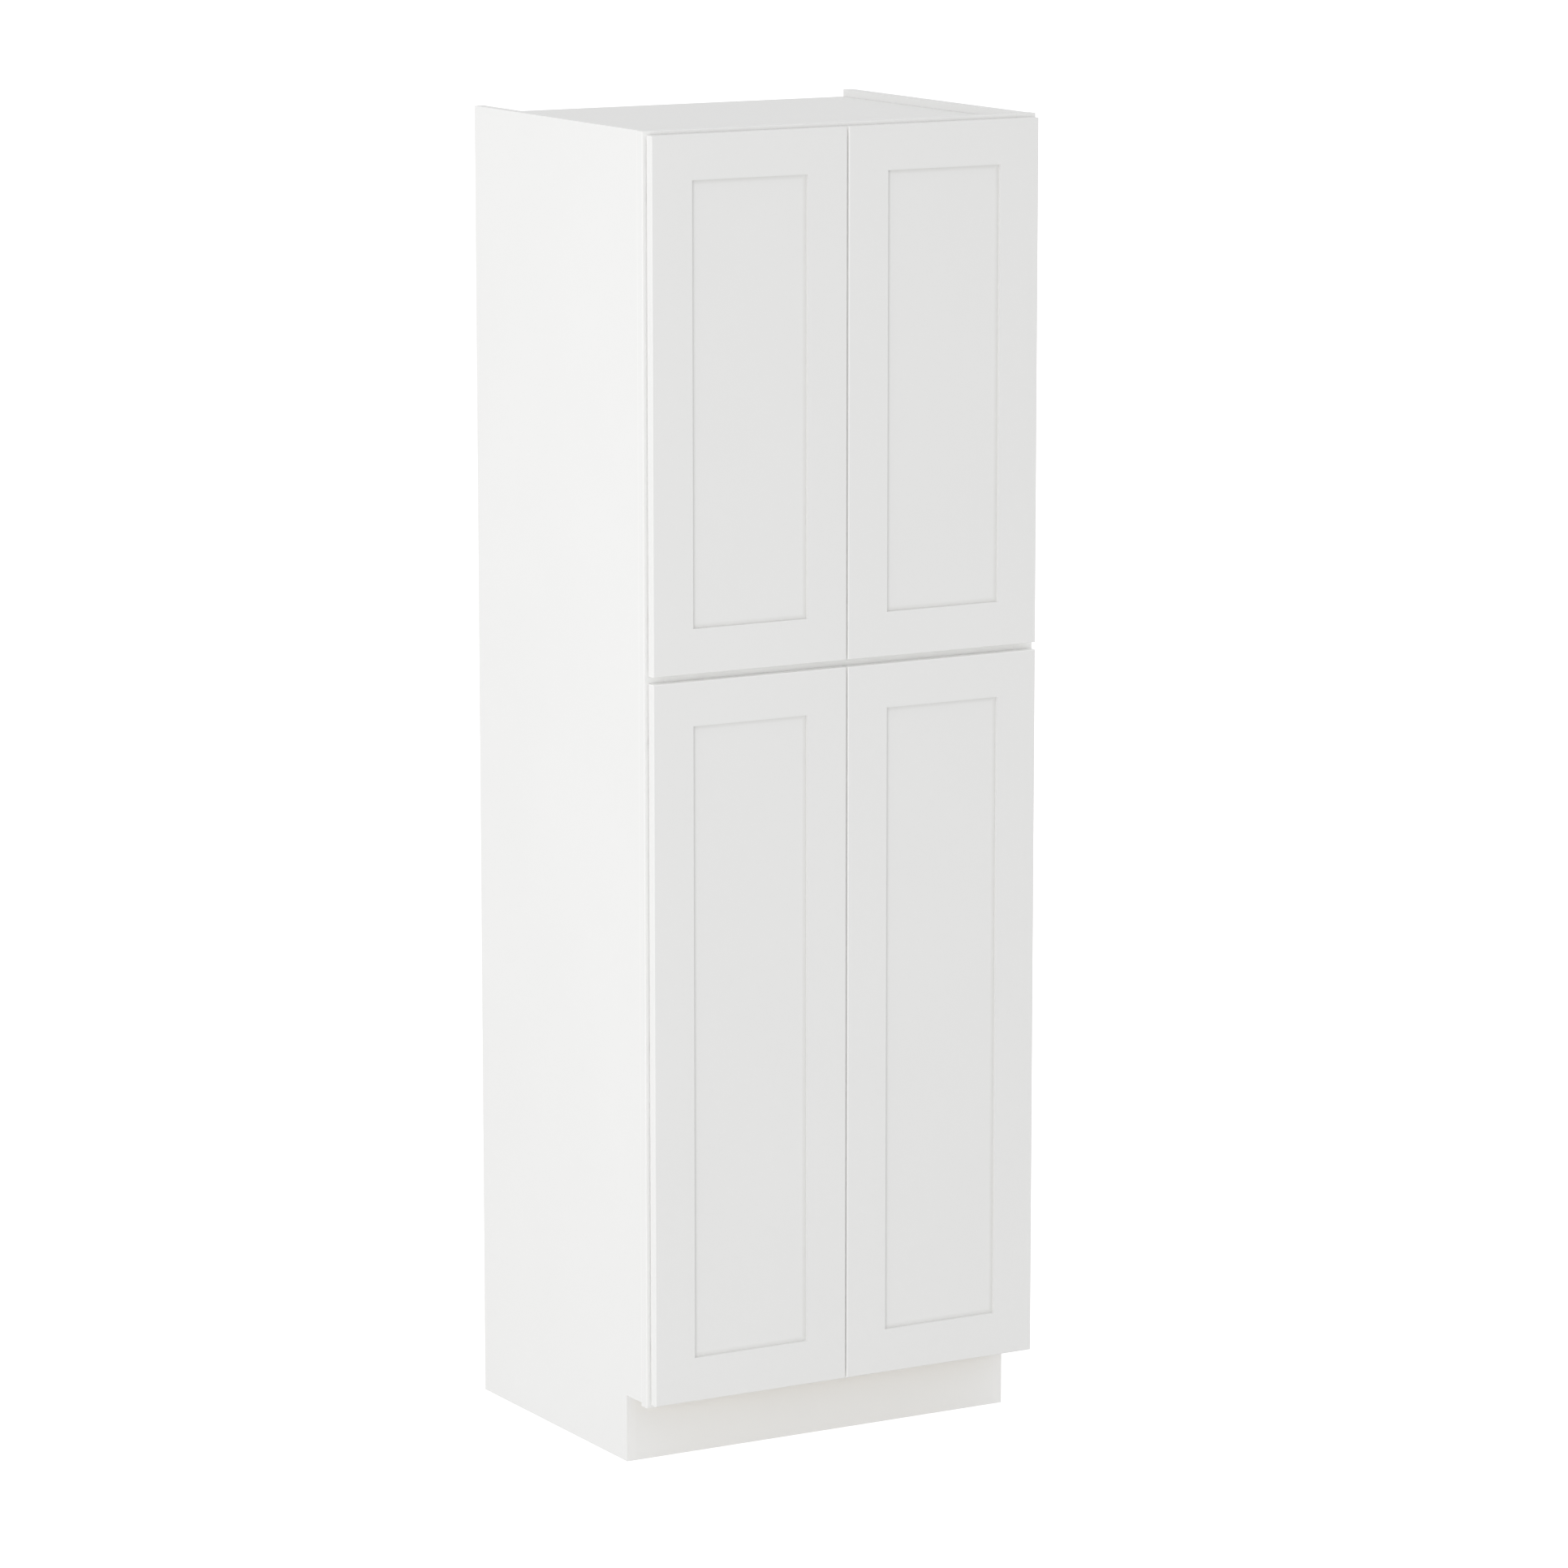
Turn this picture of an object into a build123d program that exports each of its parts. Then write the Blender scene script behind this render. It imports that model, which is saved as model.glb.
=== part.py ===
from build123d import *
import os
from math import cos, hypot, pi, sqrt

os.makedirs("parts", exist_ok=True)

# Overall size in mm: face frame width, face frame front to wall, floor to top
cabinet_width = 762.0
cabinet_depth = 609.6
cabinet_height = 2286.0

# Face frame of solid wood, wider than the box behind it
frame_thickness = 19.0
frame_stile_width = 38.1
frame_rail_width = 38.1
frame_bottom_z = 114.3
frame_overhang = 4.0
frame_groove_depth = 6.0
frame_tenon_length = 12.0
frame_tenon_thickness = 8.0
frame_tenon_shoulder = 5.0
frame_edge_radius = 0.8

# Boards of the box
side_thickness = 18.0
deck_thickness = 18.0
back_thickness = 6.0
nailer_thickness = 16.0
nailer_width = 89.0
dado_depth = 6.0
top_recess = 12.7
toe_depth = 79.4
toe_notch_height = 118.0
toe_board_thickness = 18.0
corner_block_leg = 45.0
corner_block_height = 90.0
board_fit = 0.1

# Doors: two stiles, two rails and a thin panel that floats in their grooves
door_thickness = 18.0
door_stile_width = 76.2
door_rail_width = 76.2
door_panel_thickness = 6.0
door_panel_setback = 6.35
door_groove_depth = 10.0
door_panel_float = 1.0
door_edge_radius = 1.8
lower_door_height = 1244.6
door_level_gap = 12.7
door_center_gap = 3.2
door_top_reveal = 6.35
door_bottom_reveal = 6.35

# Concealed hinges: cup in the door, pin in the cup, arm on the frame's inner edge
hinge_end_distance = 100.0
upper_hinge_count = 2
lower_hinge_count = 3
cup_radius = 17.5
cup_edge_distance = 3.0
cup_wall = 1.1
cup_floor = 0.8
cup_bore_fit = 0.1
flange_rim = 1.2
flange_thickness = 1.2
flange_wing_width = 10.0
flange_wing_chamfer = 2.5
pin_depth = 10.0
pin_radius = 1.2
pin_fit = 0.05
pin_seat_length = 3.5
eye_wall = 1.15
eye_clearance = 0.3
eye_floor_clearance = 0.4
arm_width = 10.0
strap_thickness = 1.5
strap_bend_radius = 2.5
riser_clearance = 1.2
plate_thickness = 1.5
plate_length = 40.0
plate_margin = 2.0
plate_chamfer = 2.5
swing_clearance = 0.4

# Wood screws of the hinges; small pieces that repeat are octagonal
small_sides = 8
screw_radius = 1.75
screw_length = 12.0
screw_head_radius = 3.4
screw_head_height = 1.6
screw_fit = 0.05
cup_screw_spacing = 45.0
cup_screw_offset = 9.5
arm_screw_spacing = 26.0

# Bumpers at the free corners of each door
bumper_radius = 4.0
bumper_inset = 12.0
bumper_fit = 0.1

# Adjustable shelves and the pegged L brackets that carry them
upper_shelf_count = 2
lower_shelf_count = 3
shelf_thickness = 18.0
shelf_setback = 12.0
shelf_back_gap = 2.0
shelf_edge_radius = 1.0
shelf_end_gap = 2.0
shelf_pin_radius = 2.45
shelf_pin_fit = 0.05
shelf_pin_length = 9.0
shelf_pin_end_gap = 1.5
shelf_pin_rise = 6.0
shelf_pin_drop = 6.0
shelf_pin_reach = 11.0
shelf_pin_width = 9.0
shelf_pin_sheet = 1.5
shelf_pin_inset = 60.0
shelf_hole_pitch = 32.0
shelf_hole_rows = 3

# Hinge section: u runs inwards from the door's hinge edge, depth from its back face
cup_inner_radius = cup_radius - cup_wall
cup_center_u = cup_edge_distance + cup_radius
cup_half_chord = sqrt(cup_inner_radius ** 2 - (arm_width / 2) ** 2)
eye_radius = pin_radius + pin_fit + eye_wall
pin_u = cup_center_u - cup_half_chord + eye_clearance + eye_radius
strap_depth = pin_depth + eye_radius
cup_inner_depth = strap_depth + eye_floor_clearance
cup_depth = cup_inner_depth + cup_floor
riser_outer_u = cup_center_u + cup_half_chord - riser_clearance
riser_inner_u = riser_outer_u - strap_thickness
door_overlay = riser_inner_u - plate_thickness
cheek_inner_z = arm_width / 2 + eye_clearance
pin_reach = cheek_inner_z + pin_seat_length
# Octagonal seats hold the round pin between their flats
pin_seat_radius = (pin_radius + pin_fit) / cos(pi / small_sides)
# The door's back corner turns about the pin and has to pass the frame
door_gap = hypot(pin_u, pin_depth) - pin_depth + swing_clearance

# Planes across the depth, with the middle of the closed cabinet at zero
total_depth = door_thickness + door_gap + cabinet_depth
door_front_y = -total_depth / 2
door_back_y = door_front_y + door_thickness
frame_front_y = door_back_y + door_gap
frame_back_y = frame_front_y + frame_thickness
side_front_y = frame_back_y - frame_groove_depth + board_fit
rear_y = total_depth / 2
nailer_front_y = rear_y - nailer_thickness
back_front_y = nailer_front_y - back_thickness
toe_y = frame_front_y + toe_depth

# Planes across the width, left half
frame_left_x = -cabinet_width / 2
side_outer_x = frame_left_x + frame_overhang
side_inner_x = side_outer_x + side_thickness
frame_inner_x = frame_left_x + frame_stile_width
door_hinge_x = frame_inner_x - door_overlay
door_lock_x = -door_center_gap / 2

# Heights
lower_door_z = frame_bottom_z + door_bottom_reveal
lower_door_top_z = lower_door_z + lower_door_height
upper_door_z = lower_door_top_z + door_level_gap
upper_door_top_z = cabinet_height - door_top_reveal
upper_door_height = upper_door_top_z - upper_door_z
bottom_rail_top_z = frame_bottom_z + frame_rail_width
middle_rail_z = lower_door_top_z + door_level_gap / 2 - frame_rail_width / 2
middle_rail_top_z = middle_rail_z + frame_rail_width
top_rail_z = cabinet_height - frame_rail_width
bottom_panel_z = bottom_rail_top_z - deck_thickness
middle_deck_z = middle_rail_top_z - deck_thickness
top_panel_top_z = cabinet_height - top_recess
top_panel_z = top_panel_top_z - deck_thickness

from_corner = (Align.MIN, Align.MIN, Align.MIN)
from_base = (Align.CENTER, Align.CENTER, Align.MIN)


def block(x_span, y_span, z_span):
    size = [high - low for low, high in (x_span, y_span, z_span)]
    return Pos(x_span[0], y_span[0], z_span[0]) * Box(*size, align=from_corner)


def rod(start, direction, radius, length):
    return Plane(origin=start, z_dir=direction) * Cylinder(radius, length, align=from_base)


# Few-sided rod for screws, pegs, bumpers and their holes
def prism(start, direction, radius, length):
    return extrude(Plane(origin=start, z_dir=direction) * RegularPolygon(radius, small_sides), length)


def mirrored(shape):
    return mirror(shape, about=Plane.YZ)


def both_sides(solids):
    return solids + [mirrored(solid) for solid in solids]


def even_heights(low, high, count):
    return [low + (high - low) * step / (count - 1) for step in range(count)]


# Hinge heights of each level of doors
hinge_heights = {
    "upper": even_heights(upper_door_z + hinge_end_distance, upper_door_top_z - hinge_end_distance,
                          upper_hinge_count),
    "lower": even_heights(lower_door_z + hinge_end_distance, lower_door_top_z - hinge_end_distance,
                          lower_hinge_count),
}
all_hinge_heights = hinge_heights["lower"] + hinge_heights["upper"]
cup_screw_heights = (-cup_screw_spacing / 2, cup_screw_spacing / 2)
arm_screw_heights = (-arm_screw_spacing / 2, arm_screw_spacing / 2)
toward_front = (0, -1, 0)
toward_left = (-1, 0, 0)


# Undersides of evenly spread shelves between two decks
def shelf_heights(floor_z, ceiling_z, count):
    clear_height = (ceiling_z - floor_z - count * shelf_thickness) / (count + 1)
    return [floor_z + clear_height * (step + 1) + shelf_thickness * step for step in range(count)]


shelf_levels = {
    "upper": shelf_heights(middle_rail_top_z, top_panel_z, upper_shelf_count),
    "lower": shelf_heights(bottom_rail_top_z, middle_deck_z, lower_shelf_count),
}
all_shelf_heights = shelf_levels["lower"] + shelf_levels["upper"]
shelf_front_y = frame_back_y + shelf_setback
shelf_back_y = back_front_y - shelf_back_gap
shelf_pin_rows_y = (shelf_front_y + shelf_pin_inset, shelf_back_y - shelf_pin_inset)


# Side panel: notched profile, dadoes for the decks, groove for the back, rows of pin holes
def left_side_panel():
    outline = Polyline(
        (side_front_y, toe_notch_height),
        (side_front_y, cabinet_height),
        (rear_y, cabinet_height),
        (rear_y, 0),
        (toe_y, 0),
        (toe_y, toe_notch_height),
        close=True,
    )
    panel = extrude(Plane.YZ.offset(side_outer_x) * make_face(outline), side_thickness)
    dado_x = (side_inner_x - dado_depth, side_inner_x)
    for deck_z, deck_back_y in ((bottom_panel_z, back_front_y), (middle_deck_z, back_front_y),
                                (top_panel_z, rear_y)):
        dado_z = (deck_z - board_fit, deck_z + deck_thickness + board_fit)
        panel -= block(dado_x, (side_front_y, deck_back_y), dado_z)
    groove_y = (back_front_y - board_fit, nailer_front_y + board_fit)
    panel -= block(dado_x, groove_y, (bottom_panel_z - board_fit, top_panel_z))
    middle_row = (shelf_hole_rows - 1) / 2
    for shelf_z in all_shelf_heights:
        for row in range(shelf_hole_rows):
            hole_z = shelf_z - shelf_pin_rise + (row - middle_row) * shelf_hole_pitch
            for pin_y in shelf_pin_rows_y:
                mouth = (side_inner_x, pin_y, hole_z)
                depth = shelf_pin_length + shelf_pin_end_gap
                panel -= prism(mouth, toward_left, shelf_pin_radius + shelf_pin_fit, depth)
    return panel


# Deck that ends in the side panels' dadoes
def deck(z, back_y):
    half_width = -side_inner_x + dado_depth - board_fit
    return block((-half_width, half_width), (frame_back_y, back_y), (z, z + deck_thickness))


def back_panel():
    half_width = -side_inner_x + dado_depth - board_fit
    return block((-half_width, half_width), (back_front_y, nailer_front_y), (bottom_panel_z, top_panel_z))


def nailer(z):
    return block((side_inner_x, -side_inner_x), (nailer_front_y, rear_y), (z, z + nailer_width))


def toe_kick_board():
    return block((side_inner_x, -side_inner_x), (toe_y, toe_y + toe_board_thickness), (0, bottom_panel_z))


# Three-cornered block glued between the toe-kick board, a side panel and the bottom panel
def left_corner_block():
    back_of_board_y = toe_y + toe_board_thickness
    outline = Polyline(
        (side_inner_x, back_of_board_y),
        (side_inner_x + corner_block_leg, back_of_board_y),
        (side_inner_x, back_of_board_y + corner_block_leg),
        close=True,
    )
    foot = Plane.XY.offset(bottom_panel_z - corner_block_height)
    return extrude(foot * make_face(outline), corner_block_height)


frame_tenon_y = (frame_front_y + frame_tenon_shoulder,
                 frame_front_y + frame_tenon_shoulder + frame_tenon_thickness)
frame_rail_heights = {"bottom": frame_bottom_z, "middle": middle_rail_z, "top": top_rail_z}


# Height of a rail's tenon, with a shoulder above and below
def tenon_span(rail_z, fit):
    return (rail_z + frame_tenon_shoulder - fit, rail_z + frame_rail_width - frame_tenon_shoulder + fit)


# Face frame stile: grooved behind for the side panel, mortised for the rails
def left_frame_stile():
    height = (frame_bottom_z, cabinet_height)
    stile = block((frame_left_x, frame_inner_x), (frame_front_y, frame_back_y), height)
    front_edges = stile.edges().filter_by(Axis.Z).group_by(Axis.Y)[0]
    stile = fillet(front_edges, frame_edge_radius)
    groove_x = (side_outer_x - board_fit, side_inner_x + board_fit)
    stile -= block(groove_x, (frame_back_y - frame_groove_depth, frame_back_y), height)
    mortise_x = (frame_inner_x - frame_tenon_length - board_fit, frame_inner_x)
    mortise_y = (frame_tenon_y[0] - board_fit, frame_tenon_y[1] + board_fit)
    for rail_z in frame_rail_heights.values():
        stile -= block(mortise_x, mortise_y, tenon_span(rail_z, board_fit))
    for hinge_z in all_hinge_heights:
        for screw_z in arm_screw_heights:
            mouth = (frame_inner_x, frame_front_y + frame_thickness / 2, hinge_z + screw_z)
            stile -= prism(mouth, toward_left, screw_radius + screw_fit, screw_length)
    return stile


def frame_rail(rail_z):
    rail = block((frame_inner_x, -frame_inner_x), (frame_front_y, frame_back_y),
                 (rail_z, rail_z + frame_rail_width))
    tenon_end = -frame_inner_x + frame_tenon_length
    return rail + block((-tenon_end, tenon_end), frame_tenon_y, tenon_span(rail_z, 0))


def shelf(z):
    half_width = -side_inner_x - shelf_end_gap
    board = block((-half_width, half_width), (shelf_front_y, shelf_back_y), (z, z + shelf_thickness))
    front_edges = board.edges().filter_by(Axis.X).group_by(Axis.Y)[0]
    return fillet(front_edges, shelf_edge_radius)


# Shelf pin: peg in the side panel and a bent strip whose upper leg carries the shelf
def left_shelf_pin(y, shelf_z):
    strip_foot_z = shelf_z - shelf_pin_rise - shelf_pin_drop
    outline = Polyline(
        (side_inner_x, strip_foot_z),
        (side_inner_x, shelf_z),
        (side_inner_x + shelf_pin_reach, shelf_z),
        (side_inner_x + shelf_pin_reach, shelf_z - shelf_pin_sheet),
        (side_inner_x + shelf_pin_sheet, shelf_z - shelf_pin_sheet),
        (side_inner_x + shelf_pin_sheet, strip_foot_z),
        close=True,
    )
    strip = extrude(Plane.XZ.offset(-y) * make_face(outline), shelf_pin_width / 2, both=True)
    peg_root = (side_inner_x, y, shelf_z - shelf_pin_rise)
    return strip + prism(peg_root, toward_left, shelf_pin_radius, shelf_pin_length)


# Hinge pieces lie round the hinge edge of a left door's back face.
# Countersunk head of a cup screw, or with a fit added, the seat that takes it
def countersink(z, fit):
    head_plane = Plane(origin=(cup_center_u + cup_screw_offset, flange_thickness, z), z_dir=toward_front)
    top = head_plane * RegularPolygon(screw_head_radius + fit, small_sides)
    foot = head_plane.offset(flange_thickness) * RegularPolygon(screw_radius + fit, small_sides)
    return loft([top, foot], ruled=True)


def cup_screw(z):
    seat = (cup_center_u + cup_screw_offset, 0, z)
    return countersink(z, 0) + prism(seat, toward_front, screw_radius, screw_length - flange_thickness)


# Pressed cup with a winged flange and two cheeks beside the arm that hold the pin
def hinge_cup():
    wing_length = cup_screw_spacing + flange_wing_width
    wings = Pos(cup_center_u + cup_screw_offset, 0) * Rectangle(flange_wing_width, wing_length)
    wings = chamfer(wings.vertices(), flange_wing_chamfer)
    flange_outline = Pos(cup_center_u, 0) * Circle(cup_radius + flange_rim) + wings
    cup = extrude(Plane.XZ * flange_outline, -flange_thickness)
    cup += rod((cup_center_u, 0, 0), toward_front, cup_radius - cup_bore_fit, cup_depth)
    hollow_depth = cup_inner_depth + flange_thickness
    hollow = rod((cup_center_u, flange_thickness, 0), toward_front, cup_inner_radius, hollow_depth)
    for side in (-1, 1):
        cheek_z = sorted((side * cheek_inner_z, side * cup_radius))
        hollow -= block((0, pin_u + eye_radius), (-cup_depth, eye_radius - pin_depth), cheek_z)
    cup -= hollow
    cup -= prism((pin_u, -pin_depth, -pin_reach), (0, 0, 1), pin_seat_radius, 2 * pin_reach)
    for screw_z in cup_screw_heights:
        cup -= countersink(screw_z, screw_fit)
    return cup


def hinge_pin():
    return rod((pin_u, -pin_depth, -pin_reach), (0, 0, 1), pin_radius, 2 * pin_reach)


# Gooseneck arm: eye round the pin, strap along the cup's floor, riser to the frame plate
def hinge_arm():
    plate_front = door_gap + plate_margin
    plate_back = door_gap + frame_thickness - plate_margin
    strap = make_face(Polyline(
        (pin_u, -strap_depth),
        (riser_outer_u, -strap_depth),
        (riser_outer_u, plate_back),
        (riser_inner_u, plate_back),
        (riser_inner_u, strap_thickness - strap_depth),
        (pin_u, strap_thickness - strap_depth),
        close=True,
    ))
    inner_bend = strap.vertices().sort_by_distance((riser_inner_u, strap_thickness - strap_depth))[0]
    strap = fillet(inner_bend, strap_bend_radius)
    outer_bend = strap.vertices().sort_by_distance((riser_outer_u, -strap_depth))[0]
    strap = fillet(outer_bend, strap_bend_radius + strap_thickness)
    section = strap + Pos(pin_u, -pin_depth) * Circle(eye_radius)
    section -= Pos(pin_u, -pin_depth) * Circle(pin_radius + pin_fit)
    arm = extrude(section, arm_width / 2, both=True)
    plate_middle = Pos((plate_front + plate_back) / 2, 0)
    plate_outline = Rectangle(plate_back - plate_front, plate_length)
    plate_outline = chamfer(plate_outline.vertices(), plate_chamfer)
    arm += extrude(Plane.YZ.offset(door_overlay) * plate_middle * plate_outline, plate_thickness)
    for screw_z in arm_screw_heights:
        mouth = (riser_inner_u, door_gap + frame_thickness / 2, screw_z)
        arm -= prism(mouth, toward_left, screw_radius + screw_fit, plate_thickness)
    return arm


def arm_screw(z):
    seat = (riser_inner_u, door_gap + frame_thickness / 2, z)
    head_top = (riser_inner_u + screw_head_height, seat[1], z)
    head = prism(head_top, toward_left, screw_head_radius, screw_head_height)
    return head + prism(seat, toward_left, screw_radius, screw_length)


# One member of a door's frame, outer edge at x = 0, groove along its inner edge
def door_member(width, length):
    groove_y = (door_front_y + door_panel_setback - board_fit,
                door_front_y + door_panel_setback + door_panel_thickness + board_fit)
    member = block((0, width), (door_front_y, door_back_y), (0, length))
    return member - block((width - door_groove_depth, width), groove_y, (0, length))


def door_stile(height):
    stile = door_member(door_stile_width, height)
    long_edges = stile.edges().filter_by(Axis.Z).group_by(Axis.X)[0]
    end_edges = stile.edges().filter_by(Axis.X).group_by(Axis.Y)
    return fillet(long_edges + end_edges[0] + end_edges[-1], door_edge_radius)


# Bottom rail between the stiles, with stub tenons in their grooves
def door_bottom_rail(start_x, end_x):
    rail = door_member(door_rail_width, end_x - start_x)
    outer_edges = rail.edges().filter_by(Axis.Z).group_by(Axis.X)[0]
    rail = fillet(outer_edges, door_edge_radius)
    tenon_y = (door_front_y + door_panel_setback, door_front_y + door_panel_setback + door_panel_thickness)
    tenon_length = door_groove_depth - board_fit
    rail += block((0, door_rail_width - door_groove_depth), tenon_y,
                  (-tenon_length, end_x - start_x + tenon_length))
    return Pos(end_x, 0, 0) * Rot(0, -90, 0) * rail


def turned_over(shape, height):
    return Pos(0, 0, height) * mirror(shape, about=Plane.XY)


# The nodes of one left door: its woodwork, the hinge pieces it carries and its bumpers
def left_door(bottom_z, height, heights_of_hinges):
    raised = Pos(0, 0, bottom_z)
    stile = door_stile(height)
    hinge_stile = raised * Pos(door_hinge_x, 0, 0) * stile
    lock_stile = raised * Pos(door_lock_x, 0, 0) * mirrored(stile)
    opening_x = (door_hinge_x + door_stile_width, door_lock_x - door_stile_width)
    bottom_rail = door_bottom_rail(*opening_x)
    panel_tuck = door_groove_depth - door_panel_float
    panel = block(
        (opening_x[0] - panel_tuck, opening_x[1] + panel_tuck),
        (door_front_y + door_panel_setback, door_front_y + door_panel_setback + door_panel_thickness),
        (door_rail_width - panel_tuck, height - door_rail_width + panel_tuck),
    )
    cups, pins, screws = [], [], []
    for hinge_z in heights_of_hinges:
        place = Pos(door_hinge_x, door_back_y, hinge_z)
        bore_depth = cup_depth + cup_bore_fit
        hinge_stile -= place * rod((cup_center_u, 0, 0), toward_front, cup_radius, bore_depth)
        cups.append(place * hinge_cup())
        pins.append(place * hinge_pin())
        for screw_z in cup_screw_heights:
            seat = (cup_center_u + cup_screw_offset, 0, screw_z)
            hinge_stile -= place * prism(seat, toward_front, screw_radius + screw_fit, screw_length)
            screws.append(place * cup_screw(screw_z))
    bumper = prism((0, 0, 0), (0, 1, 0), bumper_radius, door_gap - bumper_fit)
    bumper_height = door_level_gap / 2
    bumper_places = [Pos(door_lock_x - bumper_inset, door_back_y, bottom_z + bumper_height),
                     Pos(door_lock_x - bumper_inset, door_back_y, bottom_z + height - bumper_height)]
    return {
        "door_hinge_stile": hinge_stile,
        "door_lock_stile": lock_stile,
        "door_bottom_rail": raised * bottom_rail,
        "door_top_rail": raised * turned_over(bottom_rail, height),
        "door_panel": raised * panel,
        "hinge_cups": Compound(cups),
        "hinge_pins": Compound(pins),
        "cup_screws": Compound(screws),
        "door_bumpers": Compound([place * bumper for place in bumper_places]),
    }


left_side = left_side_panel()
left_stile = left_frame_stile()
left_arms = []
left_arm_screws = []
for hinge_z in all_hinge_heights:
    place = Pos(door_hinge_x, door_back_y, hinge_z)
    left_arms.append(place * hinge_arm())
    left_arm_screws += [place * arm_screw(screw_z) for screw_z in arm_screw_heights]
left_pins = [left_shelf_pin(y, z) for z in all_shelf_heights for y in shelf_pin_rows_y]

nodes = {
    "left_side_panel": left_side,
    "right_side_panel": mirrored(left_side),
    "top_panel": deck(top_panel_z, rear_y),
    "middle_deck": deck(middle_deck_z, back_front_y),
    "bottom_panel": deck(bottom_panel_z, back_front_y),
    "back_panel": back_panel(),
    "top_nailer": nailer(top_panel_z - nailer_width),
    "middle_nailer": nailer(middle_deck_z - nailer_width),
    "bottom_nailer": nailer(bottom_panel_z),
    "toe_kick_board": toe_kick_board(),
    "corner_blocks": Compound(both_sides([left_corner_block()])),
    "left_frame_stile": left_stile,
    "right_frame_stile": mirrored(left_stile),
    "hinge_arms": Compound(both_sides(left_arms)),
    "hinge_arm_screws": Compound(both_sides(left_arm_screws)),
    "shelf_pins": Compound(both_sides(left_pins)),
}
for position, rail_z in frame_rail_heights.items():
    nodes[f"{position}_frame_rail"] = frame_rail(rail_z)
for level, heights in shelf_levels.items():
    for number, shelf_z in enumerate(heights, start=1):
        nodes[f"{level}_shelf_{number}"] = shelf(shelf_z)
doors = {
    "upper": left_door(upper_door_z, upper_door_height, hinge_heights["upper"]),
    "lower": left_door(lower_door_z, lower_door_height, hinge_heights["lower"]),
}
for level, pieces in doors.items():
    for piece, shape in pieces.items():
        nodes[f"{level}_left_{piece}"] = shape
        nodes[f"{level}_right_{piece}"] = mirrored(shape)

for name, shape in nodes.items():
    export_step(shape, f"parts/{name}.step")
print(len(nodes), "nodes, door gap", round(door_gap, 3), "overlay", round(door_overlay, 3))
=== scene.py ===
import math

import bpy
import numpy as np
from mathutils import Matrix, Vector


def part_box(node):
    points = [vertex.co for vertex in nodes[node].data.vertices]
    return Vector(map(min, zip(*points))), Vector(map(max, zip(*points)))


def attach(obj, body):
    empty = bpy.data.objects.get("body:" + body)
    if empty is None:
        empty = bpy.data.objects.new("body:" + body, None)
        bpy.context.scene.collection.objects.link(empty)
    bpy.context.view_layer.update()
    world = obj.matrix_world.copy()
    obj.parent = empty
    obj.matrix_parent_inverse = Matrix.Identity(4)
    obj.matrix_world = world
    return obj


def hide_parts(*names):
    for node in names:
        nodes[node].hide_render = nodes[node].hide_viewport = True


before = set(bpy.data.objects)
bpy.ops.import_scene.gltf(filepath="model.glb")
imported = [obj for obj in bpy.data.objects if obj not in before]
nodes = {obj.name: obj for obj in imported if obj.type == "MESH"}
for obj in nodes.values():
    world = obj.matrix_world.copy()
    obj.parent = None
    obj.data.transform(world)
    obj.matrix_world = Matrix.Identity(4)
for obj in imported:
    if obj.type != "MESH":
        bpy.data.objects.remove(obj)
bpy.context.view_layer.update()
mm = 0.001  # settings of materials and small pieces are in millimetres, those of the stage in metres
noiseLow, noiseHigh = 0.3, 0.7  # nearly all of a noise's values lie between these
print("frame loaded:", len(nodes), "nodes")


def linear(hexColour):
    # sRGB to linear light: a straight line near black, a 2.4 power above it
    parts = np.array([int(hexColour[i:i + 2], 16) for i in (1, 3, 5)]) / 255
    rgb = np.where(parts <= 0.04045, parts / 12.92, ((parts + 0.055) / 1.055) ** 2.4)
    return (*(float(v) for v in rgb), 1.0)


def addNode(tree, kind, inputs=None, **settings):
    # one node: settings go on the node, inputs on its sockets, as a value or as the output to link
    node = tree.nodes.new(kind)
    for key, value in settings.items():
        setattr(node, key, value)
    for socket, value in (inputs or {}).items():
        if isinstance(value, bpy.types.NodeSocket):
            tree.links.new(value, node.inputs[socket])
        else:
            node.inputs[socket].default_value = value
    return node


def newMaterial(name, **constants):
    # an empty material with its shader, whose constant sockets are set by name
    material = bpy.data.materials.new(name)
    material.use_nodes = True
    tree = material.node_tree
    tree.nodes.clear()
    shader = addNode(tree, "ShaderNodeBsdfPrincipled", constants)
    addNode(tree, "ShaderNodeOutputMaterial", {"Surface": shader.outputs[0]})
    place = addNode(tree, "ShaderNodeTexCoord").outputs["Object"]
    return material, tree, shader, place


def linkShader(tree, shader, tone, rough, bump):
    # a finished surface's colour, roughness and bump into its shader
    for socket, output in (("Base Color", tone), ("Roughness", rough), ("Normal", bump)):
        tree.links.new(output, shader.inputs[socket])


def dress(names, material):
    for name in names:
        nodes[name].data.materials.clear()
        nodes[name].data.materials.append(material)


# Satin white lacquer, sprayed on sanded maple: an even soft white with a broad sheen,
# a slight drift of tone over a hand's width and a faint orange peel.
lacquer = {
    "light": "#f1f1f0", "dark": "#efefee", "driftWidth": 260, "driftDetail": 3.0,
    "roughLow": 0.36, "roughHigh": 0.44, "ior": 1.5, "peelDetail": 1.0,
    "peelWidth": 4.0, "peelDepth": 0.006,  # real peel is nearer 1 mm; drawn coarser so that it shows
}


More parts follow.
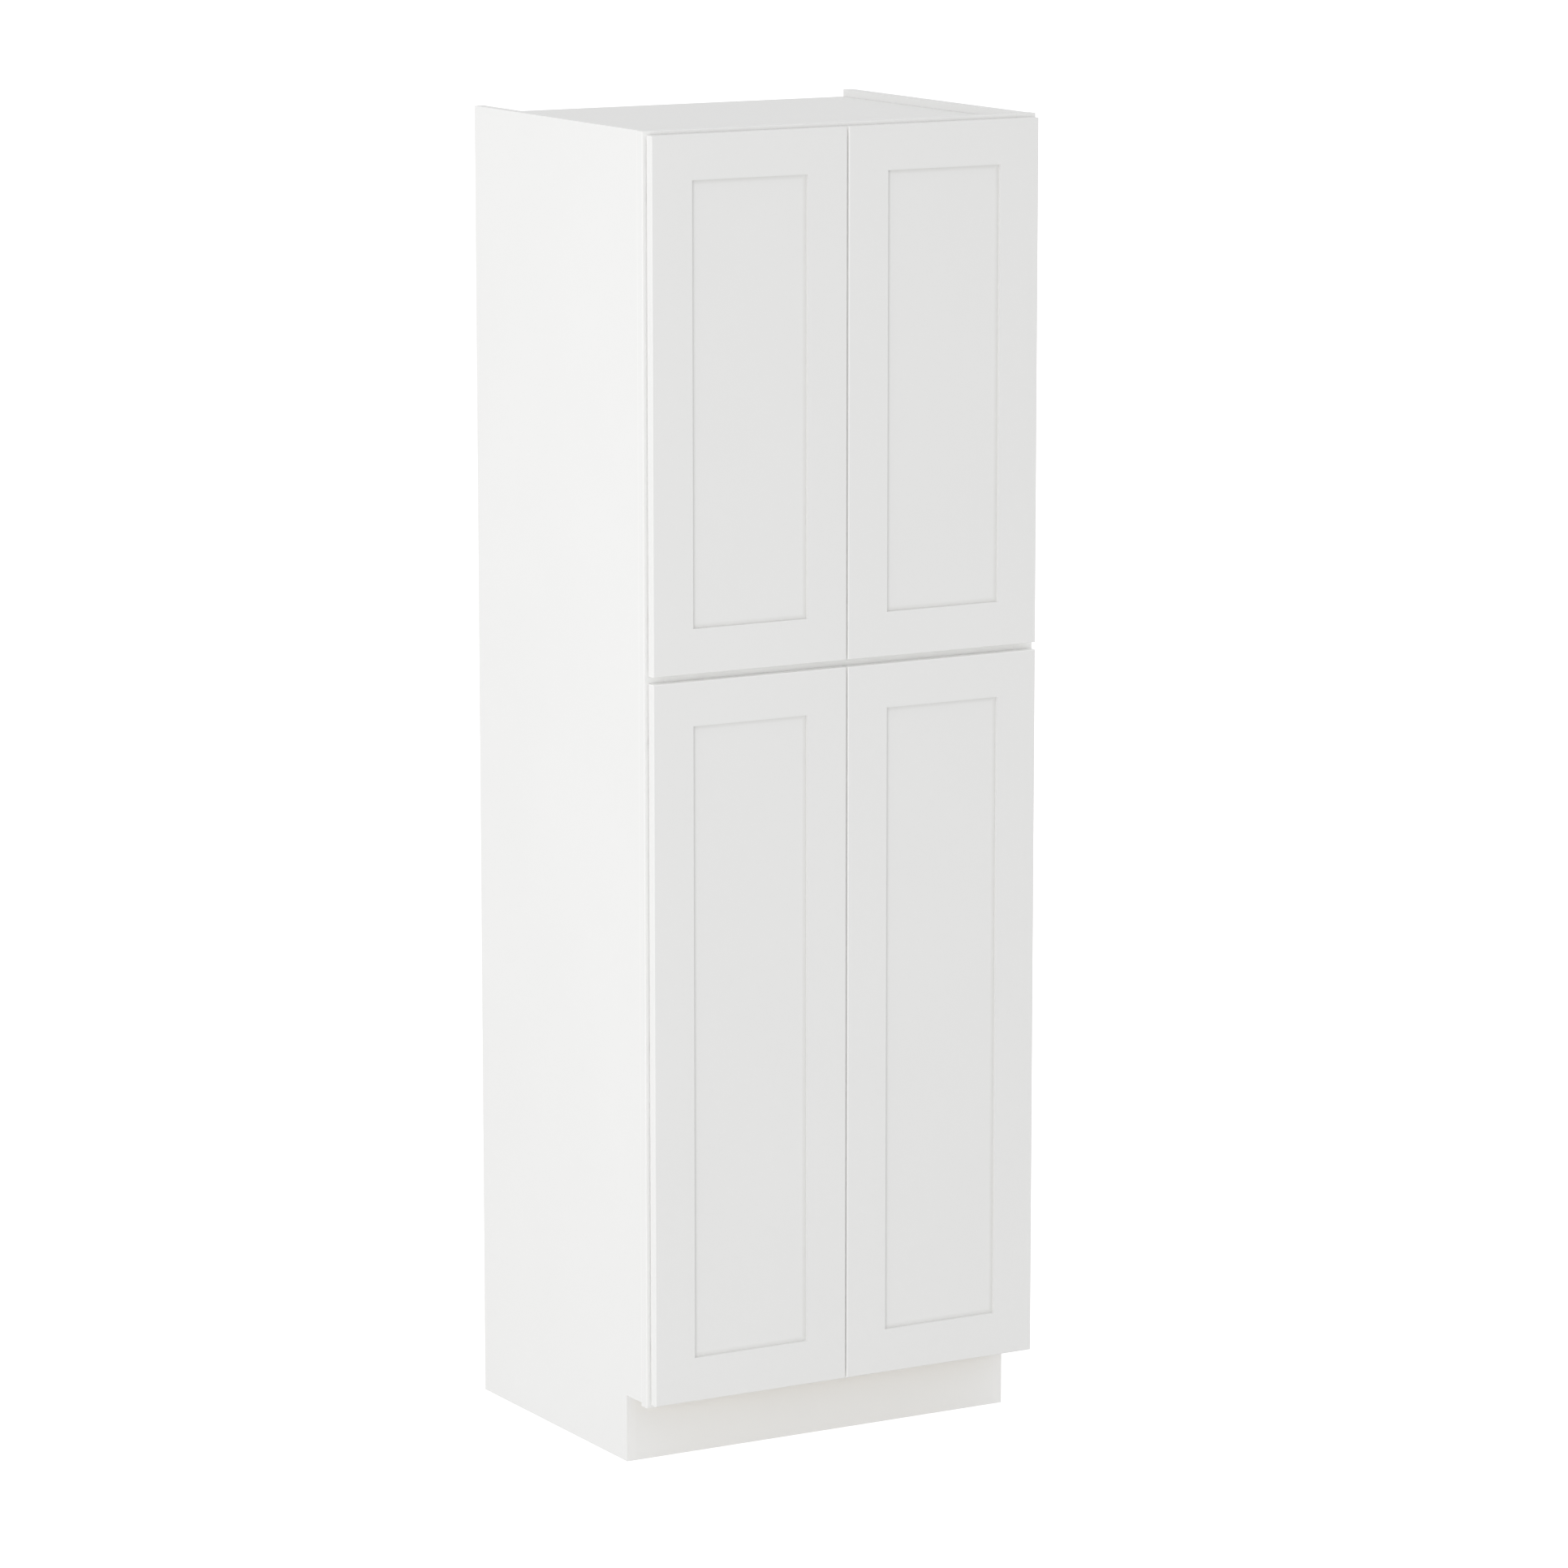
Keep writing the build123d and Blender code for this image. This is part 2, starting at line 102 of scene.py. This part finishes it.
def whiteCoat(tree, place, coat):
    # tone, roughness and peel of a sprayed white coat
    drift = addNode(tree, "ShaderNodeTexNoise", {
        "Vector": place, "Scale": 1 / (coat["driftWidth"] * mm), "Detail": coat["driftDetail"]}).outputs[0]
    tone = addNode(tree, "ShaderNodeMix", {
        0: drift, 6: linear(coat["dark"]), 7: linear(coat["light"])}, data_type="RGBA").outputs[2]
    rough = addNode(tree, "ShaderNodeMapRange", {
        "Value": drift, "From Min": noiseLow, "From Max": noiseHigh,
        "To Min": coat["roughLow"], "To Max": coat["roughHigh"]}).outputs[0]
    peel = addNode(tree, "ShaderNodeTexNoise", {
        "Vector": place, "Scale": 1 / (coat["peelWidth"] * mm), "Detail": coat["peelDetail"]}).outputs[0]
    bump = addNode(tree, "ShaderNodeBump", {
        "Height": peel, "Strength": 1.0, "Distance": coat["peelDepth"] * mm}).outputs[0]
    return tone, rough, bump


# Painted shade: a soft grey line in the inner corner round each door's panel, where shade gathers.
# Painted light: a whiter tone along the doors' edges at the gaps between them and over the frame's front
# behind them, which the doors shade.
# Each tone fades over its width from the faces of a box across the axes, inwards, or outwards for -1.
cornerPaintedShade = {"tone": "#e4e4e2", "width": 8, "axes": (0, 2), "sign": 1}
gapEdgePaintedLight = {"tone": "#fafaf9", "width": 2, "axes": (0, 2), "sign": -1}
framePaintedLight = {"tone": "#f8f8f7", "width": 2, "axes": (1,), "sign": 1}
panelTuck = 9  # the panels' reach into their grooves


def rimFade(tree, place, low, high, rim):
    # 1 at the nearest face of the box, falling to 0 at the rim's width from it
    xyz = addNode(tree, "ShaderNodeSeparateXYZ", {0: place}).outputs
    nearest = None
    for axis in rim["axes"]:
        middle = (low[axis] + high[axis]) / 2
        half = (high[axis] - low[axis]) / 2
        offset = addNode(tree, "ShaderNodeMath", {
            0: xyz[axis], 1: middle}, operation="SUBTRACT").outputs[0]
        far = addNode(tree, "ShaderNodeMath", {0: offset}, operation="ABSOLUTE").outputs[0]
        away = addNode(tree, "ShaderNodeMath", {
            0: far, 1: -rim["sign"], 2: rim["sign"] * half}, operation="MULTIPLY_ADD").outputs[0]
        if nearest:
            away = addNode(tree, "ShaderNodeMath", {
                0: nearest, 1: away}, operation="MINIMUM").outputs[0]
        nearest = away
    return addNode(tree, "ShaderNodeMapRange", {
        "Value": nearest, "From Max": rim["width"] * mm, "To Min": 1.0, "To Max": 0.0}).outputs[0]


def lacquerMaterial(name, low, high, rim):
    material, tree, shader, place = newMaterial(name, IOR=lacquer["ior"])
    tone, rough, bump = whiteCoat(tree, place, lacquer)
    fade = rimFade(tree, place, low, high, rim)
    tone = addNode(tree, "ShaderNodeMix", {
        0: fade, 6: tone, 7: linear(rim["tone"])}, data_type="RGBA").outputs[2]
    linkShader(tree, shader, tone, rough, bump)
    return material


doorWood = [n for n in nodes if "_door_" in n and not n.endswith("bumpers")]
frameWood = [n for n in nodes if "_frame_" in n]
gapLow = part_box("lower_left_door_lock_stile")[1]
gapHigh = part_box("upper_right_door_lock_stile")[0]
# doors: painted light along their edges at the gaps between them
dress(doorWood, lacquerMaterial("satinLacquerDoorsPaintedGapLight", gapLow, gapHigh, gapEdgePaintedLight))
# each door's panel: painted shade in its inner corner
for doorPanel in [n for n in doorWood if n.endswith("door_panel")]:
    low, high = np.array(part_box(doorPanel))
    low, high = low + panelTuck * mm, high - panelTuck * mm
    dress([doorPanel], lacquerMaterial("satinLacquerPaintedCornerShade_" + doorPanel, low, high, cornerPaintedShade))
# frame: painted light over its front, seen in the gaps
dress(frameWood, lacquerMaterial("satinLacquerFramePaintedLight", *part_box("left_frame_stile"), framePaintedLight))
print("lacquer on", len(doorWood) + len(frameWood), "door and frame pieces")

# Birch plywood with a clear cured finish: pale straw veneer with long low-contrast figure and fine
# pores, and on sawn edges the stripes of its crossed plies. Boards seen from outside are white there.
plywood = {
    "pale": "#f0e4cc", "warm": "#e6d4b3", "pore": "#c9ae85", "plyLong": "#e2cda8", "plyEnd": "#c2a276",
    "figureWidth": 26, "figureLength": 520, "figureDetail": 4.0, "waviness": 0.6, "ior": 1.5,
    "poreWidth": 1.6, "poreLength": 45, "poreDetail": 2.0,
    "poreStart": 0.6, "poreFull": 0.72, "poreShare": 0.35,
    "plyThickness": 1.5, "faceDepth": 0.3, "roughLow": 0.34, "roughHigh": 0.46, "grainDepth": 0.02,
}
# Under the doors the toe kick's white coat is lighter: painted light where the overhang shades it
toePaintedLightCoat = {**lacquer, "light": "#f8f8f7", "dark": "#f6f6f5"}


def boardMaterial(node, grainAxis, painted=(), banded=(), notch=None, coat=lacquer):
    # painted and banded name the board's sides that are white or edge-banded, where a third number
    # sets the level that a painted side starts from; the notch's edges take the toe kick's lighter tone,
    # painted light
    low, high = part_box(node)
    size = [high[i] - low[i] for i in range(3)]
    thickAxis = size.index(min(size))
    material, tree, shader, place = newMaterial("birchPlywood_" + node, IOR=plywood["ior"])
    xyz = addNode(tree, "ShaderNodeSeparateXYZ", {0: place}).outputs

    def nearSide(axis, end, start=None):
        # 1 within faceDepth of one side of the board, or beyond start, and 0 elsewhere
        edge = start if start is not None else (low[axis] if end < 0 else high[axis])
        kind = "LESS_THAN" if end < 0 else "GREATER_THAN"
        level = edge - end * plywood["faceDepth"] * mm
        return addNode(tree, "ShaderNodeMath", {0: xyz[axis], 1: level}, operation=kind).outputs[0]

    def anyOf(masks):
        total = masks[0]
        for mask in masks[1:]:
            total = addNode(tree, "ShaderNodeMath", {0: total, 1: mask}, operation="MAXIMUM").outputs[0]
        return total

    def stretched(width, length, detail):
        # noise drawn out along the grain
        scale = [1 / (width * mm)] * 3
        scale[grainAxis] = 1 / (length * mm)
        along = addNode(tree, "ShaderNodeMapping", {"Vector": place, "Scale": scale}).outputs[0]
        return addNode(tree, "ShaderNodeTexNoise", {
            "Vector": along, "Scale": 1.0, "Detail": detail, "Distortion": plywood["waviness"]}).outputs[0]

    figure = stretched(plywood["figureWidth"], plywood["figureLength"], plywood["figureDetail"])
    figureRange = addNode(tree, "ShaderNodeMapRange", {
        "Value": figure, "From Min": noiseLow, "From Max": noiseHigh}).outputs[0]
    warm, pale = linear(plywood["warm"]), linear(plywood["pale"])
    veneer = addNode(tree, "ShaderNodeMix", {0: figureRange, 6: warm, 7: pale}, data_type="RGBA").outputs[2]
    pores = stretched(plywood["poreWidth"], plywood["poreLength"], plywood["poreDetail"])
    poreMask = addNode(tree, "ShaderNodeMapRange", {
        "Value": pores, "From Min": plywood["poreStart"], "From Max": plywood["poreFull"],
        "To Max": plywood["poreShare"]}).outputs[0]
    veneer = addNode(tree, "ShaderNodeMix", {
        0: poreMask, 6: veneer, 7: linear(plywood["pore"])}, data_type="RGBA").outputs[2]
    # plies: the thickness counted in pairs of plies, lower half end grain, upper half long grain
    pairs = addNode(tree, "ShaderNodeMath", {
        0: xyz[thickAxis], 1: 2 * plywood["plyThickness"] * mm}, operation="DIVIDE").outputs[0]
    half = addNode(tree, "ShaderNodeMath", {0: pairs}, operation="FRACT").outputs[0]
    upper = addNode(tree, "ShaderNodeMath", {0: half, 1: 0.5}, operation="GREATER_THAN").outputs[0]
    plies = addNode(tree, "ShaderNodeMix", {
        0: upper, 6: linear(plywood["plyEnd"]), 7: linear(plywood["plyLong"])}, data_type="RGBA").outputs[2]
    faces = anyOf([nearSide(thickAxis, -1), nearSide(thickAxis, 1)] + [nearSide(*side) for side in banded])
    tone = addNode(tree, "ShaderNodeMix", {0: faces, 6: plies, 7: veneer}, data_type="RGBA").outputs[2]
    rough = addNode(tree, "ShaderNodeMapRange", {
        "Value": pores, "From Min": noiseLow, "From Max": noiseHigh,
        "To Min": plywood["roughLow"], "To Max": plywood["roughHigh"]}).outputs[0]
    bump = addNode(tree, "ShaderNodeBump", {
        "Height": pores, "Strength": 1.0, "Distance": plywood["grainDepth"] * mm}).outputs[0]
    if painted:
        whites = [nearSide(*side) for side in painted]
        coatTone, coatRough, coatBump = whiteCoat(tree, place, coat)
        # the notch's edges get the toe kick's lighter tone: painted light where the overhang shades them
        if notch:
            before, below = [nearSide(axis, -1, level) for axis, level in notch]
            both = addNode(tree, "ShaderNodeMath", {0: before, 1: below}, operation="MULTIPLY").outputs[0]
            whites.append(both)
            coatTone = addNode(tree, "ShaderNodeMix", {
                0: both, 6: coatTone, 7: linear(toePaintedLightCoat["light"])}, data_type="RGBA").outputs[2]
        white = anyOf(whites)
        tone = addNode(tree, "ShaderNodeMix", {0: white, 6: tone, 7: coatTone}, data_type="RGBA").outputs[2]
        rough = addNode(tree, "ShaderNodeMix", {0: white, 2: rough, 3: coatRough}).outputs[0]
        bump = addNode(tree, "ShaderNodeMix", {
            0: white, 4: bump, 5: coatBump}, data_type="VECTOR").outputs[1]
    linkShader(tree, shader, tone, rough, bump)
    return material


# Each board's grain axis, the sides painted white, the sides with an edge band and, where it has them,
# its toe notch and a white coat other than the lacquer (the toe kick's, lighter as painted light). A side
# is an axis and an end.
acrossWidth, upright = 0, 2
leftSide, rightSide, frontSide, topSide = (0, -1), (0, 1), (1, -1), (2, 1)
aboveTop = (*topSide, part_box("top_panel")[1][2])
notchHeight = 118  # mm, of the side panels' cut-out over the toe kick
toeNotch = [(1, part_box("toe_kick_board")[0][1]), (2, notchHeight * mm)]
boards = {
    "left_side_panel": (upright, [leftSide, aboveTop], [], toeNotch),
    "right_side_panel": (upright, [rightSide, aboveTop], [], toeNotch),
    "top_panel": (acrossWidth, [topSide]),
    "toe_kick_board": (acrossWidth, [frontSide], [], None, toePaintedLightCoat),
    "middle_deck": (acrossWidth, [], [frontSide]),
    "bottom_panel": (acrossWidth, [], [frontSide]),
    "back_panel": (upright,),
    "top_nailer": (acrossWidth,),
    "middle_nailer": (acrossWidth,),
    "bottom_nailer": (acrossWidth,),
    "corner_blocks": (upright,),
}
boards.update({n: (acrossWidth, [], [frontSide]) for n in nodes if "_shelf_" in n})
for board, finish in boards.items():
    dress([board], boardMaterial(board, *finish))
print("plywood on", len(boards), "boards")

# Nickel-plated pressed steel: a warm grey mirror softened by the rolled sheet under the plating
nickel = {"light": "#dddbd6", "dark": "#d0cdc7", "rollWidth": 0.8, "rollLength": 30, "rollDetail": 3.0,
          "roughLow": 0.26, "roughHigh": 0.36, "rollDepth": 0.0015}


def nickelMaterial(name):
    material, tree, shader, place = newMaterial(name, Metallic=1.0)
    scale = [1 / (nickel[key] * mm) for key in ("rollWidth", "rollWidth", "rollLength")]
    along = addNode(tree, "ShaderNodeMapping", {"Vector": place, "Scale": scale}).outputs[0]
    rolled = addNode(tree, "ShaderNodeTexNoise", {
        "Vector": along, "Scale": 1.0, "Detail": nickel["rollDetail"]}).outputs[0]
    tone = addNode(tree, "ShaderNodeMix", {
        0: rolled, 6: linear(nickel["dark"]), 7: linear(nickel["light"])}, data_type="RGBA").outputs[2]
    rough = addNode(tree, "ShaderNodeMapRange", {
        "Value": rolled, "From Min": noiseLow, "From Max": noiseHigh,
        "To Min": nickel["roughLow"], "To Max": nickel["roughHigh"]}).outputs[0]
    bump = addNode(tree, "ShaderNodeBump", {
        "Height": rolled, "Strength": 1.0, "Distance": nickel["rollDepth"] * mm}).outputs[0]
    linkShader(tree, shader, tone, rough, bump)
    return material


nickelSteel = nickelMaterial("nickelPlatedSteel")
steelNodes = [n for n in nodes if "hinge_cups" in n or "hinge_pins" in n or "hinge_arm" in n
              or "screws" in n or n == "shelf_pins"]
dress(steelNodes, nickelSteel)
print("nickel plate on", len(steelNodes), "nodes")

# Moulded clear polyurethane: a milky soft drop with a slightly grippy skin
polyurethane = {"milk": "#eef0f0", "haze": "#e2e6e6", "hazeWidth": 3, "clear": 0.55,
                "roughLow": 0.25, "roughHigh": 0.4, "ior": 1.49}


def bumperMaterial():
    material, tree, shader, place = newMaterial("mouldedPolyurethane", IOR=polyurethane["ior"])
    shader.inputs["Transmission Weight"].default_value = polyurethane["clear"]
    haze = addNode(tree, "ShaderNodeTexNoise", {
        "Vector": place, "Scale": 1 / (polyurethane["hazeWidth"] * mm)}).outputs[0]
    dull, milk = linear(polyurethane["haze"]), linear(polyurethane["milk"])
    tone = addNode(tree, "ShaderNodeMix", {0: haze, 6: dull, 7: milk}, data_type="RGBA").outputs[2]
    rough = addNode(tree, "ShaderNodeMapRange", {
        "Value": haze, "To Min": polyurethane["roughLow"], "To Max": polyurethane["roughHigh"]}).outputs[0]
    tree.links.new(tone, shader.inputs["Base Color"])
    tree.links.new(rough, shader.inputs["Roughness"])
    return material


softClear = bumperMaterial()
dress([n for n in nodes if n.endswith("bumpers")], softClear)

# Small repeated pieces: the least jump in height, in mm, from one solid of a node to the next,
# and the angle in degrees past which two faces meet in a crease
smallPieces = {"jump": 4, "crease": 40}


def solidsOf(node):
    # boxes of a node's separate solids: its points split by side, then where their heights jump
    points = np.array([v.co for v in nodes[node].data.vertices], float)
    found = []
    for side in (points[points[:, 0] < 0], points[points[:, 0] >= 0]):
        if len(side) == 0:
            continue
        side = side[np.argsort(side[:, 2])]
        cuts = np.flatnonzero(np.diff(side[:, 2]) > smallPieces["jump"] * mm) + 1
        found += [(part.min(0), part.max(0)) for part in np.split(side, cuts)]
    return found


def meshOf(name, points, faces, material, body):
    # smooth faces, with a crease wherever two of them meet at more than the crease angle
    mesh = bpy.data.meshes.new(name)
    mesh.from_pydata(points.tolist(), [], [corners for group in faces for corners in group.tolist()])
    mesh.polygons.foreach_set("use_smooth", np.ones(len(mesh.polygons), bool))
    mesh.set_sharp_from_angle(angle=math.radians(smallPieces["crease"]))
    mesh.materials.append(material)
    piece = bpy.data.objects.new(name, mesh)
    bpy.context.scene.collection.objects.link(piece)
    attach(piece, body)
    return piece


def turned(radius, height, ringSteps, dent):
    # a profile turned about an axis: x and y are radius times the cosine and sine of the angle,
    # z is the height less the dent there; the first and last points are poles on the axis
    angle = np.linspace(0, 2 * np.pi, ringSteps, endpoint=False)
    x = radius[1:-1, None] * np.cos(angle)
    y = radius[1:-1, None] * np.sin(angle)
    z = height[1:-1, None] - dent(x, y)
    rings = np.stack([x, y, z], -1).reshape(-1, 3)
    zero = np.zeros((1, 1))
    poles = np.array([[0, 0, height[0] - dent(zero, zero)[0, 0]], [0, 0, height[-1]]])
    points = np.concatenate([rings, poles])
    here = np.arange(ringSteps)
    after = (here + 1) % ringSteps
    ring = np.arange(len(radius) - 3)[:, None] * ringSteps
    sides = np.stack([ring + here, ring + ringSteps + here, ring + ringSteps + after, ring + after], -1)
    last = len(rings) - ringSteps
    top = np.stack([np.full_like(here, len(rings)), here, after], -1)
    bottom = np.stack([np.full_like(here, len(rings) + 1), last + after, last + here], -1)
    return points, [sides.reshape(-1, 4), top, bottom]


def repeated(points, faces, seats, axes):
    # copies of one shape: each point is the seat plus its three coordinates along that copy's axes
    allPoints = [seat + points @ np.array(axis) for seat, axis in zip(seats, axes)]
    allFaces = [group + len(points) * i for i in range(len(seats)) for group in faces]
    return np.concatenate(allPoints), allFaces


# Wood screws with a cross recess, in millimetres from the plane that the head's rim rests on
screw = {"shankRadius": 1.75, "recessRadius": 1.9, "recessWidth": 0.5, "recessDepth": 1.0, "soft": 0.25,
         "recessTaper": 0.5, "crownPower": 4, "pointLength": 1.5, "ringSteps": 48, "headRings": 16}
panHead = {"radius": 3.4, "rim": 0.9, "crown": 0.7, "sunk": 0.0, "length": 11.8}
ovalHead = {"radius": 3.6, "rim": 0.1, "crown": 0.55, "sunk": 1.1, "length": 11.5}


def crossDent(x, y):
    # cross recess: full depth where a point is near either arm of the cross, fading over a soft
    # band on the arm's edge and inside its rim, and shallower away from the middle
    radius = np.hypot(x, y) / mm
    arm = np.minimum(np.abs(x), np.abs(y)) / mm
    across = np.clip((screw["recessWidth"] - arm) / screw["soft"] + 0.5, 0, 1)
    along = np.clip((screw["recessRadius"] - radius) / screw["soft"], 0, 1)
    taper = 1 - screw["recessTaper"] * radius / screw["recessRadius"]
    return screw["recessDepth"] * mm * across * along * taper


def screwShape(head):
    # turned outline: a head crowned by a fourth power of the radius, its rim, its flat or tapered
    # underside, then the shank to a blunt point
    across = np.linspace(0, 1, screw["headRings"])
    below = [(head["radius"], 0.0), (screw["shankRadius"], -head["sunk"]),
             (screw["shankRadius"], screw["pointLength"] - head["length"]), (0.0, -head["length"])]
    crown = head["crown"] * (1 - across ** screw["crownPower"])
    radius = np.concatenate([across * head["radius"], [r for r, z in below]]) * mm
    height = np.concatenate([head["rim"] + crown, [z for r, z in below]]) * mm
    return turned(radius, height, screw["ringSteps"], crossDent)


armScrews = solidsOf("hinge_arm_screws")
seats = []
axes = []
for low, high in armScrews:
    side = 1 if low[0] < 0 else -1  # heads face the middle of the cabinet
    plateX = high[0] if side > 0 else low[0]
    plateX -= side * (panHead["rim"] + panHead["crown"]) * mm
    seats.append(np.array([plateX, (low[1] + high[1]) / 2, (low[2] + high[2]) / 2]))
    axes.append([[0, 0, 1], [0, -side, 0], [side, 0, 0]])
points, faces = repeated(*screwShape(panHead), seats, axes)
piece = meshOf("armScrews", points, faces, nickelSteel, "carcass")
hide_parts("hinge_arm_screws")
print("arm screws:", len(seats))

# Bumpers at the doors' free corners, in millimetres
bumper = {"radius": 4.0, "shoulder": 0.8, "shoulderShare": 0.4, "rings": 10, "ringSteps": 40}


def bumperShape(tall):
    # turned outline: straight wall, then a rounded shoulder of a quarter circle up to a flat top;
    # the shoulder takes no more than its share of the height
    bend = np.linspace(0, np.pi / 2, bumper["rings"])
    shoulder = min(bumper["shoulder"], tall / mm * bumper["shoulderShare"])
    wall = bumper["radius"] - shoulder
    radius = np.concatenate([[0.0], wall + shoulder * np.sin(bend), [bumper["radius"], 0.0]]) * mm
    height = np.concatenate([[tall], tall - shoulder * mm * (1 - np.cos(bend)), [0.0, 0.0]])
    return turned(radius, height, bumper["ringSteps"], lambda x, y: 0 * x)


facingBack = [[0, 0, 1], [1, 0, 0], [0, 1, 0]]  # a closed door's screws and bumpers face the cabinet
for level in ("upper", "lower"):
    for hand in ("left", "right"):
        body = f"{level}_{hand}_door"
        sunk = solidsOf(f"{level}_{hand}_cup_screws")
        seats = [np.array([(low[0] + high[0]) / 2, high[1], (low[2] + high[2]) / 2]) for low, high in sunk]
        points, faces = repeated(*screwShape(ovalHead), seats, [facingBack] * len(seats))
        piece = meshOf(body + "CupScrews", points, faces, nickelSteel, body)
        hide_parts(f"{level}_{hand}_cup_screws")
        pads = solidsOf(f"{level}_{hand}_door_bumpers")
        seats = [np.array([(low[0] + high[0]) / 2, low[1], (low[2] + high[2]) / 2]) for low, high in pads]
        tall = pads[0][1][1] - pads[0][0][1]
        points, faces = repeated(*bumperShape(tall), seats, [facingBack] * len(seats))
        piece = meshOf(body + "Bumpers", points, faces, softClear, body)
        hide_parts(f"{level}_{hand}_door_bumpers")
print("cup screws and bumpers on four doors")

# White seamless paper: a quiet tone and a little glow for what it throws back, and for the camera
# a lift to plain white, so that it stays paler than the cabinet
paper = {"size": 140.0, "colour": "#bebebe", "fibre": "#bababa", "fibreWidth": 40, "rough": 0.9,
         "glow": 0.24, "lift": 0.61}
floorMaterial, tree, shader, place = newMaterial("seamlessPaper", Roughness=paper["rough"])
shader.inputs["Emission Color"].default_value = (1, 1, 1, 1)
seen = addNode(tree, "ShaderNodeLightPath").outputs["Is Camera Ray"]
lift = addNode(tree, "ShaderNodeMath", {
    0: seen, 1: paper["lift"], 2: paper["glow"]}, operation="MULTIPLY_ADD").outputs[0]
tree.links.new(lift, shader.inputs["Emission Strength"])
fibre = addNode(tree, "ShaderNodeTexNoise", {
    "Vector": place, "Scale": 1 / (paper["fibreWidth"] * mm)}).outputs[0]
tone = addNode(tree, "ShaderNodeMix", {
    0: fibre, 6: linear(paper["fibre"]), 7: linear(paper["colour"])}, data_type="RGBA").outputs[2]
tree.links.new(tone, shader.inputs["Base Color"])
reach = paper["size"] / 2
floorMesh = bpy.data.meshes.new("floor")
floorCorners = [(-reach, -reach, 0), (reach, -reach, 0), (reach, reach, 0), (-reach, reach, 0)]
floorMesh.from_pydata(floorCorners, [], [(0, 1, 2, 3)])
floorMesh.materials.append(floorMaterial)
floor = bpy.data.objects.new("floor", floorMesh)
bpy.context.scene.collection.objects.link(floor)

# Soft studio light: a bright white room, with soft boxes that favour the left side;
# powers in watts, sizes and places in metres
studio = {"room": 0.778, "backdrop": 1.0, "diffuseBounces": 12, "allBounces": 16, "boxes": {
    "leftFront": {"power": 170.6, "size": 3.0, "place": (-6.5, -6.5, 1.36), "aim": (0, -0.3, 1.3)},
    "leftSide": {"power": 56.2, "size": 3.0, "place": (-6.0, 0.8, 2.9), "aim": (0, 0, 1.4)},
    "rightSide": {"power": 43.2, "size": 3.0, "place": (6.0, 1.2, 1.2), "aim": (0, 0, 1.1)},
    "behind": {"power": 54.0, "size": 3.0, "place": (0.5, 7.0, 1.4), "aim": (0, 0, 1.1)},
    "overhead": {"power": 6.5, "size": 3.0, "place": (0, 0.3, 6.0), "aim": (0, 0, 2.0)},
}}
world = bpy.data.worlds.new("whiteRoom")
world.use_nodes = True
tree = world.node_tree
seen = addNode(tree, "ShaderNodeLightPath").outputs["Is Camera Ray"]
strength = addNode(tree, "ShaderNodeMapRange", {
    "Value": seen, "To Min": studio["room"], "To Max": studio["backdrop"]}).outputs[0]
tree.nodes["Background"].inputs["Color"].default_value = (1, 1, 1, 1)
tree.links.new(strength, tree.nodes["Background"].inputs["Strength"])
bpy.context.scene.world = world


def softBox(name, power, size, place, aim):
    # a square lamp that faces its aim and stays out of the camera's sight
    light = bpy.data.lights.new(name + "SoftBox", "AREA")
    light.energy = power
    light.size = size
    lamp = bpy.data.objects.new(name + "SoftBox", light)
    lamp.visible_camera = False
    bpy.context.scene.collection.objects.link(lamp)
    across = np.array(aim, float) - np.array(place, float)
    flat = math.hypot(across[0], across[1])
    lamp.location = place
    lamp.rotation_euler = (math.pi / 2 + math.atan2(across[2], flat), 0, math.atan2(-across[0], across[1]))


for boxName, box in studio["boxes"].items():
    softBox(boxName, **box)
bpy.context.scene.cycles.diffuse_bounces = studio["diffuseBounces"]  # many, so that white gaps stay pale
bpy.context.scene.cycles.max_bounces = studio["allBounces"]

# Camera fitted to the photograph's corners: about 12 m away, a long lens, looking slightly down
view = {"place": (-5.6285, -9.9158, 3.2028), "turn": 0.5206, "tilt": 0.1812, "lens": 152.82,
        "sensor": 36, "reach": 300}
cameraData = bpy.data.cameras.new("camera")
cameraData.lens = view["lens"]
cameraData.sensor_width = view["sensor"]
cameraData.clip_end = view["reach"]
camera = bpy.data.objects.new("camera", cameraData)
camera.location = view["place"]
camera.rotation_euler = (math.pi / 2 - view["tilt"], 0, -view["turn"])
bpy.context.scene.collection.objects.link(camera)
bpy.context.scene.camera = camera
bpy.context.scene.view_settings.view_transform = "Standard"
print("floor, light and camera set")
